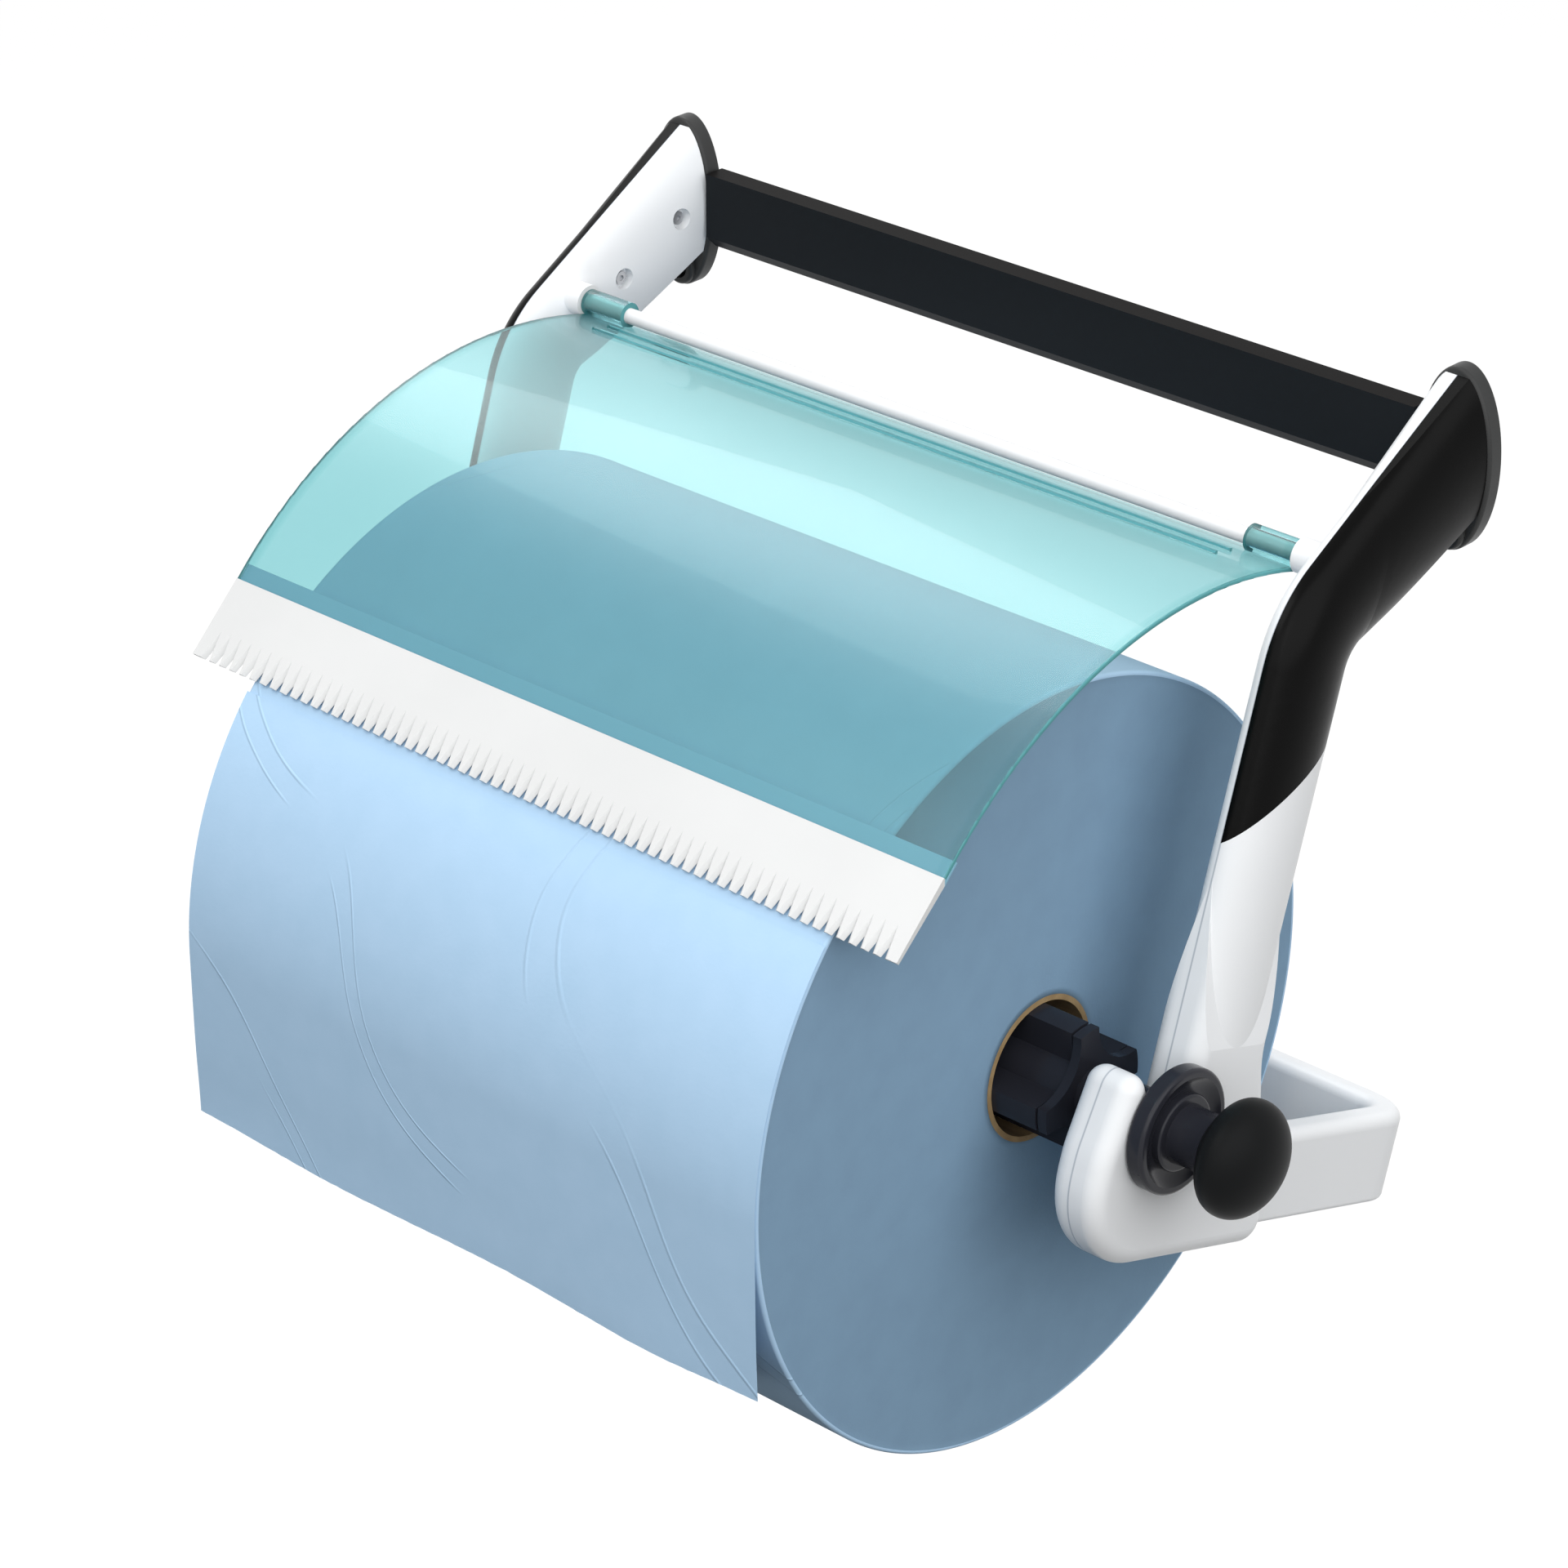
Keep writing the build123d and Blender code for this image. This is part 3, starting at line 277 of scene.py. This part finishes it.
def rod_paint():
    made = Finish("rod_paint", IOR=1.5)
    made.colour(lin(232, 234, 236), lin(242, 244, 246), 50.0, stretch=(0.2, 1, 1))
    made.gloss(0.25, 0.36, 60.0, stretch=(0.2, 1, 1))
    made.grain(900.0, 0.05, stretch=(0.15, 1, 1))
    return made.material


def axle_plastic():
    made = Finish("axle_plastic", IOR=1.48, Specular_IOR_Level=0.2)
    made.colour(lin(38, 39, 46), lin(42, 43, 50), 20.0, 2.0)
    made.gloss(0.19, 0.22, 15.0)
    made.grain(1500.0, 0.02)
    return made.material


def knob_plastic():
    made = Finish("knob_plastic", IOR=1.4, Specular_IOR_Level=0.1)
    made.colour(lin(17, 18, 19), lin(21, 22, 23), 20.0)
    made.gloss(0.42, 0.48, 30.0)
    made.grain(1500.0, 0.07)
    return made.material


def steel(name, low, high):
    made = Finish(name, Metallic=0.6)
    made.colour(low, high, 90.0)
    made.gloss(0.25, 0.42, 140.0)
    made.grain(900.0, 0.08, 3.0)
    return made.material


def cardboard():
    made = Finish("cardboard", rough=0.85)
    made.colour(lin(142, 116, 80), lin(168, 142, 102), 120.0, 6.0, stretch=(0.4, 1, 1))
    made.bump(made.noise(700.0), 0.35, 0.0003)
    return made.material


# Embossed lines of the paper: courses per metre along X and Z, sway, and half the gap and width of a pair
EMBOSS_X, EMBOSS_Z, EMBOSS_SWAY = 6.0, 4.6, 1.7
EMBOSS_GAP, EMBOSS_WIDTH = 0.05, 0.009


def paper():
    """Soft blue wiping paper with faint creases and embossed lines."""
    made = Finish("paper", rough=0.9, Specular_IOR_Level=0.05)
    made.colour(lin(180, 213, 241), lin(184, 216, 244), 60.0, 5.0)
    made.bump(made.noise(420.0), 0.12, 0.0005)
    made.bump(made.noise(26.0, 3.0, stretch=(0.6, 1, 1)), 0.06, 0.003)
    # Pairs of slanting curves that sway with a slow noise, broken by another noise
    along = made.math("MULTIPLY", made.axis("X"), EMBOSS_X)
    slant = made.math("ADD", along, made.math("MULTIPLY", made.axis("Z"), EMBOSS_Z))
    sway = made.math("MULTIPLY", made.noise(6.0, 0.0), EMBOSS_SWAY)
    course = made.math("FRACT", made.math("ADD", slant, sway))
    apart = made.math("ABSOLUTE", made.math("SUBTRACT", course, 0.5))
    near = made.math("ABSOLUTE", made.math("SUBTRACT", apart, EMBOSS_GAP))
    line = made.span(near, EMBOSS_WIDTH, 0.0, smooth=True)
    kept = made.span(made.noise(7.0, 0.0), 0.43, 0.5, smooth=True)
    made.bump(made.math("MULTIPLY", line, kept), 0.42, 0.0008)
    return made.material


def wound_face():
    """End of the wound paper, where the edges of its layers show as fine rings."""
    made = Finish("wound_face", rough=0.95, Specular_IOR_Level=0.05)
    height = made.math("SUBTRACT", made.axis("Z"), AXLE_Z)
    reach = made.math("SUBTRACT", made.axis("Y"), AXLE_Y)
    across = made.math("MULTIPLY", reach, reach)
    up = made.math("MULTIPLY", height, height)
    radius = made.math("SQRT", made.math("ADD", across, up))
    layers = made.node("TexNoise", noise_dimensions="1D")
    layers.inputs["Scale"].default_value = 1100.0
    layers.inputs["Detail"].default_value = 5.0
    made.link(radius, layers, "W")
    made.colour(lin(132, 162, 188), lin(135, 166, 192), 55.0, 6.0)
    made.bump((layers, "Fac"), 0.08, 0.0003)
    made.bump(made.noise(500.0), 0.2, 0.0005)
    return made.material


def cover_plastic():
    """Turquoise sheet: light goes through it with little bending, and it has a soft gloss."""
    made = Finish("cover_plastic", rough=0.03, IOR=1.12, Transmission_Weight=1.0,
                  Coat_Weight=1.0, Coat_Roughness=0.4, Coat_IOR=1.5)
    tint = made.colour(lin(143, 207, 212), lin(146, 210, 215), 12.0)
    # Deeper colour along both side edges, and a solid one on the cut faces of the sheet
    from_middle = made.math("ABSOLUTE", made.axis("X"))
    side = made.span(from_middle, COVER_HALF - 0.0065, COVER_HALF - 0.0045, smooth=True)
    made.repaint(side, tint, lin(128, 200, 205))
    cut_face = made.span(made.math("ABSOLUTE", made.facing("X")), 0.35, 0.8)
    edge = made.node("BsdfDiffuse")
    edge.inputs["Color"].default_value = lin(96, 160, 164)
    seen = made.mix_shaders(cut_face, (made.shader, "BSDF"), (edge, "BSDF"))
    # Light on its way to what lies under the cover passes straight through
    through = made.node("BsdfTransparent")
    through.inputs["Color"].default_value = (0.70, 0.72, 0.70, 1)
    path = made.node("LightPath")
    passing = made.math("MAXIMUM", (path, "Is Shadow Ray"), (path, "Is Diffuse Ray"))
    made.link(made.mix_shaders(passing, seen, (through, "BSDF")), made.out, "Surface")
    return made.material


# Share of the floor's white that is there without light; the rest is lit, and so takes the shadow
FLOOR_GLOW = 0.83


def floor_white():
    """White ground that still takes a faint shadow; it glows only for rays that look at it."""
    made = Finish("floor_white", rough=0.9, Specular_IOR_Level=0.0)
    made.colour(lin(124, 124, 124), lin(126, 126, 126), 3.0)
    glow = made.node("Emission")
    glow.inputs["Color"].default_value = WHITE
    path = made.node("LightPath")
    seen = made.math("MAXIMUM", (path, "Is Camera Ray"), (path, "Is Transmission Ray"))
    seen = made.math("MAXIMUM", seen, (path, "Is Glossy Ray"))
    made.link(made.math("MULTIPLY", seen, FLOOR_GLOW), glow, "Strength")
    both = made.node("AddShader")
    made.link((made.shader, "BSDF"), both, 0)
    made.link((glow, "Emission"), both, 1)
    made.link((both, "Shader"), made.out, "Surface")
    return made.material


FINISHES = {
    "white_plastic": white_plastic("white_plastic", True),
    "black_plastic": black_plastic(),
    "dark_plastic": dark_plastic(),
    "rail_paint": rail_paint(),
    "rod_paint": rod_paint(),
    "cover_plastic": cover_plastic(),
    "axle_plastic": axle_plastic(),
    "knob_plastic": knob_plastic(),
    "tube_steel": steel("tube_steel", lin(176, 178, 180), lin(196, 198, 200)),
    "screw_steel": steel("screw_steel", lin(172, 174, 178), lin(200, 202, 205)),
    "cardboard": cardboard(),
    "paper": paper(),
}


def dress(obj, material):
    obj.data.materials.clear()
    obj.data.materials.append(material)


for subpart in frame["record"]["subparts"]:
    dress(nodes[subpart["node"]], FINISHES[subpart["material_slot"]])
dress(nodes["cutter_bar"], cutter_plastic())
dress(nodes["lower_brace"], white_plastic("brace_plastic", False))


def new_piece(name, verts, faces, material, smooth=True):
    mesh = bpy.data.meshes.new(name)
    mesh.from_pydata(verts, [], faces)
    mesh.update()
    obj = bpy.data.objects.new(name, mesh)
    bpy.context.scene.collection.objects.link(obj)
    obj.data.materials.append(material)
    for face in mesh.polygons:
        face.use_smooth = smooth
    return obj


def wander(x, y, z):
    """Smooth noise from -1 to 1."""
    return noise.noise(Vector((x, y, z)))


def wander_share(x, y, z):
    """Smooth noise from 0 to 1."""
    return 0.5 + 0.5 * wander(x, y, z)


# Wound paper: a ring with soft rims, layers that stand out unevenly and a slightly uneven skin
RIM = 0.0022
RIM_STEPS = 5
AROUND = 288
FACE_RINGS = 44
ALONG = 40
LAYER_DEPTH = 0.00008
FACE_DEPTH = 0.0005
SKIN_DEPTH = 0.00035


def roll_profile():
    """(x, radius, kind) round one half section, from the right bore over the skin to the left bore."""
    points = []
    for ring in range(FACE_RINGS + 1):
        share = ring / FACE_RINGS
        points.append((ROLL_HALF, CORE_RADIUS + share * (ROLL_RADIUS - RIM - CORE_RADIUS), "face"))
    for step in range(1, RIM_STEPS):
        turn = math.pi / 2 * step / RIM_STEPS
        x = ROLL_HALF - RIM + RIM * math.cos(turn)
        points.append((x, ROLL_RADIUS - RIM + RIM * math.sin(turn), "rim"))
    for step in range(ALONG // 2 + 1):
        points.append(((ROLL_HALF - RIM) * (1 - 2 * step / ALONG), ROLL_RADIUS, "skin"))
    left = [(-x, r, kind) for x, r, kind in reversed(points[:-1])]
    return points + left


def build_roll():
    profile = roll_profile()
    verts, faces = [], []
    for x, radius, kind in profile:
        for step in range(AROUND):
            turn = 2 * math.pi * step / AROUND
            c, s = math.cos(turn), math.sin(turn)
            side = math.copysign(1, x)
            sunk, inward = 0.0, 0.0
            if kind == "face":
                inward = LAYER_DEPTH * wander_share(radius * 260, side * 7, c * 0.3)
                inward += FACE_DEPTH * wander_share(c * 1.3, s * 1.3, radius * 14 + side)
            if kind == "skin":
                sunk = SKIN_DEPTH * wander_share(c * 3, s * 3, x * 9)
            r = radius - sunk
            verts.append((x - side * inward, AXLE_Y + r * c, AXLE_Z + r * s))
    rows = len(profile)
    for row in range(rows):
        after = (row + 1) % rows
        for step in range(AROUND):
            nxt = (step + 1) % AROUND
            faces.append((row * AROUND + step, row * AROUND + nxt,
                          after * AROUND + nxt, after * AROUND + step))
    made = new_piece("wound_paper_roll", verts, faces, FINISHES["paper"])
    made.data.materials.append(wound_face())
    for face in made.data.polygons:
        row = face.vertices[0] // AROUND
        if row < FACE_RINGS or row >= rows - 1 - FACE_RINGS:
            face.material_index = 1
    return made


roll = build_roll()
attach(roll, "roll")
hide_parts("paper_roll")

# Loose end: one sheet that lies on the roll from under the cutter, leaves it at the front and hangs
SHEET_GAP = 0.0005
WRAP_START = math.radians(140.0)
WRAP_ROWS = 40
HANG_ROWS = 36
SHEET_COLUMNS = 96
TORN = ((-0.5, 1.0), (-0.22, -0.4), (0.05, 0.5), (0.3, -1.0), (0.5, 0.2))
TORN_WAVE = 0.0022
TORN_DROP = 0.091
TORN_FRAY = 0.0003
RIPPLE = 0.0012


def torn_height(share):
    """Height of the torn edge against the axle at a share of the width, from -0.5 to 0.5."""
    for (a, low), (b, high) in zip(TORN, TORN[1:]):
        if share <= b:
            t = (share - a) / (b - a)
            t = t * t * (3 - 2 * t)
            return (low + (high - low) * t) * TORN_WAVE - TORN_DROP
    return TORN[-1][1] * TORN_WAVE - TORN_DROP


def build_sheet():
    verts, faces = [], []
    columns = SHEET_COLUMNS + 1
    skin = ROLL_RADIUS + SHEET_GAP
    for row in range(WRAP_ROWS):
        turn = WRAP_START + (math.pi - WRAP_START) * row / WRAP_ROWS
        for column in range(columns):
            x = (column / SHEET_COLUMNS - 0.5) * 2 * ROLL_HALF
            verts.append((x, AXLE_Y + skin * math.cos(turn), AXLE_Z + skin * math.sin(turn)))
    for row in range(HANG_ROWS + 1):
        fall = row / HANG_ROWS
        for column in range(columns):
            share = column / SHEET_COLUMNS - 0.5
            x = share * 2 * ROLL_HALF
            end = torn_height(share)
            if row == HANG_ROWS:
                end += TORN_FRAY * wander(x * 900, 3.1, 0.7)
            ripple = RIPPLE * fall * fall * (1 + wander(x * 12, fall * 2, 5.0))
            verts.append((x, AXLE_Y - skin + ripple, AXLE_Z + fall * end))
    for row in range(WRAP_ROWS + HANG_ROWS):
        for column in range(SHEET_COLUMNS):
            a = row * columns + column
            faces.append((a, a + 1, a + columns + 1, a + columns))
    return new_piece("paper_sheet", verts, faces, FINISHES["paper"])


sheet = build_sheet()
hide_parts("paper_tail")
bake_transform(sheet)

# Floor, well below the part
FLOOR_Z = cad_box[0].z - 0.35
FLOOR_HALF = 30
corners = [(-FLOOR_HALF, -FLOOR_HALF), (FLOOR_HALF, -FLOOR_HALF),
           (FLOOR_HALF, FLOOR_HALF), (-FLOOR_HALF, FLOOR_HALF)]
floor = new_piece("floor", [(x, y, FLOOR_Z) for x, y in corners], [(0, 1, 2, 3)], floor_white(),
                  smooth=False)
floor.visible_diffuse = False
floor.visible_shadow = False

# Soft studio light: a room that is bright above and dark below, white to rays that look at it, and softboxes
world = bpy.data.worlds.new("studio")
bpy.context.scene.world = world
world.use_nodes = True
sky = world.node_tree
sky.nodes.clear()


def sky_node(kind, **values):
    made = sky.nodes.new("ShaderNode" + kind)
    for key, value in values.items():
        setattr(made, key, value)
    return made


def sky_link(source, output, target, socket):
    sky.links.new(source.outputs[output], target.inputs[socket])


# Place from straight down to straight up, and the room's brightness there
SKY_STOPS = ((0.0, 0.04), (0.42, 0.05), (0.62, 0.4), (1.0, 1.0))
sky_out = sky_node("OutputWorld")
sky_mix = sky_node("MixShader")
sky_path = sky_node("LightPath")
sky_place = sky_node("TexCoord")
sky_split = sky_node("SeparateXYZ")
sky_span = sky_node("MapRange")
sky_span.inputs["From Min"].default_value = -1.0
sky_ramp = sky_node("ValToRGB")
while len(sky_ramp.color_ramp.elements) < len(SKY_STOPS):
    sky_ramp.color_ramp.elements.new(0.5)
for element, (at, value) in zip(sky_ramp.color_ramp.elements, SKY_STOPS):
    element.position = at
    element.color = (value, value, value, 1)
room = sky_node("Background")
white_ground = sky_node("Background")
white_ground.inputs["Color"].default_value = WHITE
sky_through = sky_node("Math", operation="MAXIMUM")
sky_seen = sky_node("Math", operation="MAXIMUM")
sky_link(sky_place, "Generated", sky_split, "Vector")
sky_link(sky_split, "Z", sky_span, "Value")
sky_link(sky_span, "Result", sky_ramp, "Fac")
sky_link(sky_ramp, "Color", room, "Color")
sky_link(sky_path, "Is Camera Ray", sky_through, 0)
sky_link(sky_path, "Is Transmission Ray", sky_through, 1)
sky_link(sky_through, "Value", sky_seen, 0)
sky_link(sky_path, "Is Glossy Ray", sky_seen, 1)
sky_link(sky_seen, "Value", sky_mix, "Fac")
sky_link(room, "Background", sky_mix, 1)
sky_link(white_ground, "Background", sky_mix, 2)
sky_link(sky_mix, "Shader", sky_out, "Surface")

MIDDLE = Vector((0.0, -0.2, -0.22))
RIGHT_ARM = Vector((0.2, -0.2, -0.15))


def softbox(name, place, size, power, aim=MIDDLE):
    data = bpy.data.lights.new(name, "AREA")
    data.shape = "RECTANGLE"
    data.size, data.size_y = size
    data.energy = power
    obj = bpy.data.objects.new(name, data)
    bpy.context.scene.collection.objects.link(obj)
    obj.location = place
    obj.rotation_mode = "QUATERNION"
    obj.rotation_quaternion = (aim - Vector(place)).to_track_quat("-Z", "Y")


softbox("key", (-0.4, -1.6, 1.6), (1.4, 1.1), 13.5)
softbox("right", (1.9, -0.75, 0.95), (2.8, 2.6), 33.0, RIGHT_ARM)
softbox("fill", (0.9, -2.2, 0.75), (1.8, 1.4), 8.0)
softbox("back", (-1.15, 0.45, 1.37), (1.0, 1.0), 12.0)

# Camera at the photograph's angle, solved from the photograph
CAMERA_PLACE = (1.5234, -1.8473, 0.9670)
CAMERA_LOOK = Vector((-0.6037, 0.6542, -0.4556))
CAMERA_LENS = 120.37
camera_data = bpy.data.cameras.new("camera")
camera_data.lens = CAMERA_LENS
camera_data.sensor_width = 36.0
camera_data.clip_end = 200.0
camera = bpy.data.objects.new("camera", camera_data)
bpy.context.scene.collection.objects.link(camera)
camera.location = CAMERA_PLACE
camera.rotation_mode = "QUATERNION"
camera.rotation_quaternion = CAMERA_LOOK.to_track_quat("-Z", "Y")
bpy.context.scene.camera = camera
bpy.context.scene.view_settings.view_transform = "Standard"
